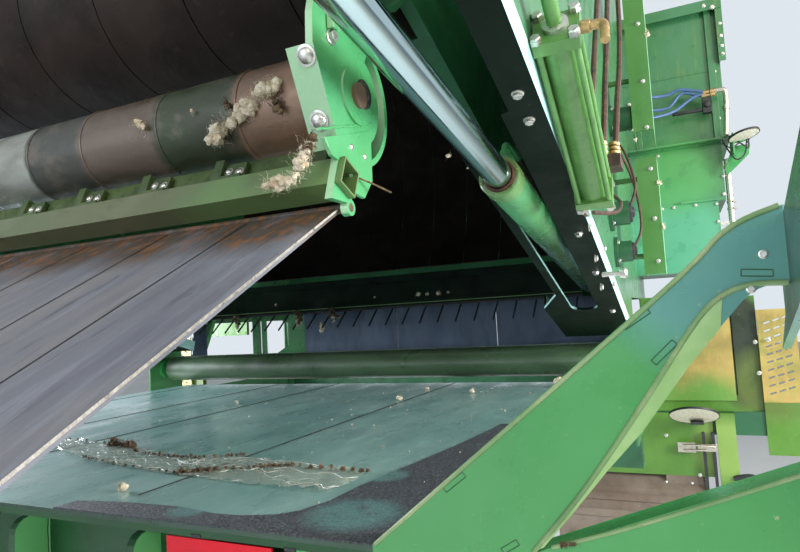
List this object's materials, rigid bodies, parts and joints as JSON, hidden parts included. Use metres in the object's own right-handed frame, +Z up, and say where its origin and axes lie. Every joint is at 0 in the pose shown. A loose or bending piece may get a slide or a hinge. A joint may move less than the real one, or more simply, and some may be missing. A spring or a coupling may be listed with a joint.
{
  "type": "cotton picker rear module chamber",
  "caption": "Rear round-module chamber of a cotton picker: side walls, lifting gate with drum, tail roller and rubber apron, tilting module deck, outriggers and side gear.",
  "frame": {"origin": "centre of the four mounting holes in the pads under the base frame", "axes": "+X to the machine's right, +Y to its front, +Z up; the gate and deck face -Y"},
  "size_m": [4.4, 4.3193, 3.8146],
  "materials": {
    "green_paint": "gloss powder coat, dusty",
    "dark_green_paint": "powder coat in shade, dusty",
    "deck_paint": "worn and scuffed paint",
    "roller_paint": "dull olive paint, worn",
    "bright_steel": "zinc plated",
    "chrome": "polished, dusty",
    "belt_rubber": "matt, dusty",
    "apron_rubber": "worn, dusty",
    "rusty_steel": "rusted, rubbed bright in places",
    "black_plastic": "moulded, dusty",
    "grit_paint": "gritty anti-slip coat",
    "hose_rubber": "weathered",
    "reflector_red": "smooth",
    "lamp_lens": "dusty lens",
    "curtain_rubber": "blue grey, matt",
    "sunlit_panel": "paint with golden dust"
  },
  "bodies": {
    "root": {"base_frame": "dark_green_paint", "side_wall_right": "green_paint", "side_wall_left": "green_paint", "side_strut_right": "green_paint", "side_strut_left": "green_paint", "top_tubes": "dark_green_paint", "front_sheets": "dark_green_paint", "front_rollers": "bright_steel", "front_belts": "belt_rubber", "comb_beam": "dark_green_paint", "comb_tines": "black_plastic", "curtain": "curtain_rubber", "window_frame": "green_paint", "starter_bearings": "green_paint", "guards": "green_paint", "side_boxes_right": "green_paint", "side_boxes_left": "green_paint", "tension_cylinders": "green_paint", "hoses": "hose_rubber", "wall_bearings": "dark_green_paint", "work_lamps": "lamp_lens", "drain_pipes": "bright_steel", "side_skirts": "green_paint", "side_panels": "sunlit_panel", "mudguards": "black_plastic"},
    "starter_roller": {"starter_roller": "roller_paint"},
    "gate": {"gate_frame_right": "green_paint", "gate_frame_left": "green_paint", "gate_rollers": "bright_steel", "gate_belts": "belt_rubber", "tail_bracket_right": "green_paint", "tail_bracket_left": "green_paint", "scraper_bar": "dark_green_paint", "scraper_clips": "green_paint"},
    "drum": {"drum": "belt_rubber"},
    "tail_roller": {"tail_roller": "rusty_steel"},
    "apron": {"apron": "apron_rubber"},
    "gate_barrel_right": {"gate_barrel_right": "green_paint"},
    "gate_barrel_left": {"gate_barrel_left": "green_paint"},
    "gate_rod_right": {"gate_rod_right": "chrome"},
    "gate_rod_left": {"gate_rod_left": "chrome"},
    "deck": {"deck_plate": "deck_paint", "deck_grip": "grit_paint", "rear_beam": "dark_green_paint", "reflectors": "reflector_red", "outrigger_right": "green_paint", "outrigger_left": "green_paint"},
    "deck_barrels": {"deck_barrels": "dark_green_paint"},
    "deck_rods": {"deck_rods": "chrome"}
  },
  "joints": [
    {"name": "starter_spin", "type": "hinge", "parent": "root", "child": "starter_roller", "pos_m": [0, -0.52, 0.52], "axis": [1, 0, 0], "continuous": true},
    {"name": "gate_lift", "type": "hinge", "parent": "root", "child": "gate", "pos_m": [0, -1.15, 2.77], "axis": [1, 0, 0], "range_deg": [-17, 24]},
    {"name": "drum_spin", "type": "hinge", "parent": "gate", "child": "drum", "pos_m": [0, -2.545, 1.45], "axis": [1, 0, 0], "continuous": true},
    {"name": "tail_spin", "type": "hinge", "parent": "gate", "child": "tail_roller", "pos_m": [0, -2.672, 1.113], "axis": [1, 0, 0], "continuous": true},
    {"name": "apron_swing", "type": "hinge", "parent": "gate", "child": "apron", "pos_m": [0, -2.70494, 0.93116], "axis": [1, 0, 0], "range_deg": [-54, 38]},
    {"name": "deck_tilt", "type": "hinge", "parent": "root", "child": "deck", "pos_m": [0, -0.6, 0.32], "axis": [1, 0, 0], "range_deg": [0, 28]},
    {"name": "deck_barrel_swing", "type": "hinge", "parent": "root", "child": "deck_barrels", "pos_m": [0, -0.62, 0.06], "axis": [1, 0, 0], "range_deg": [-0.5, 29.5]},
    {"name": "deck_rod_slide", "type": "slide", "parent": "deck_barrels", "child": "deck_rods", "axis": [0, -0.9771, 0.2126], "range_m": [-0.127, 0.002]},
    {"name": "gate_barrel_swing_right", "type": "hinge", "parent": "root", "child": "gate_barrel_right", "pos_m": [1.306, -0.74, 0.864], "axis": [1, 0, 0], "range_deg": [-13, 18.5]},
    {"name": "gate_rod_slide_right", "type": "slide", "parent": "gate_barrel_right", "child": "gate_rod_right", "axis": [0, -0.9905, 0.1377], "range_m": [-0.77, 0.545]},
    {"name": "gate_barrel_swing_left", "type": "hinge", "parent": "root", "child": "gate_barrel_left", "pos_m": [-1.306, -0.74, 0.864], "axis": [1, 0, 0], "range_deg": [-13, 18.5]},
    {"name": "gate_rod_slide_left", "type": "slide", "parent": "gate_barrel_left", "child": "gate_rod_left", "axis": [0, -0.9905, 0.1377], "range_m": [-0.77, 0.545]}
  ],
  "couplings": [
    {"joint": "apron_swing", "follows": "gate_lift", "ratio": -2.2},
    {"joint": "deck_barrel_swing", "follows": "deck_tilt", "ratio": 1.03},
    {"joint": "deck_rod_slide", "follows": "deck_tilt", "m_per_rad": -0.2565},
    {"joint": "gate_barrel_swing_right", "follows": "gate_lift", "ratio": 0.75},
    {"joint": "gate_rod_slide_right", "follows": "gate_lift", "m_per_rad": -1.835},
    {"joint": "gate_barrel_swing_left", "follows": "gate_lift", "ratio": 0.75},
    {"joint": "gate_rod_slide_left", "follows": "gate_lift", "m_per_rad": -1.835}
  ]
}
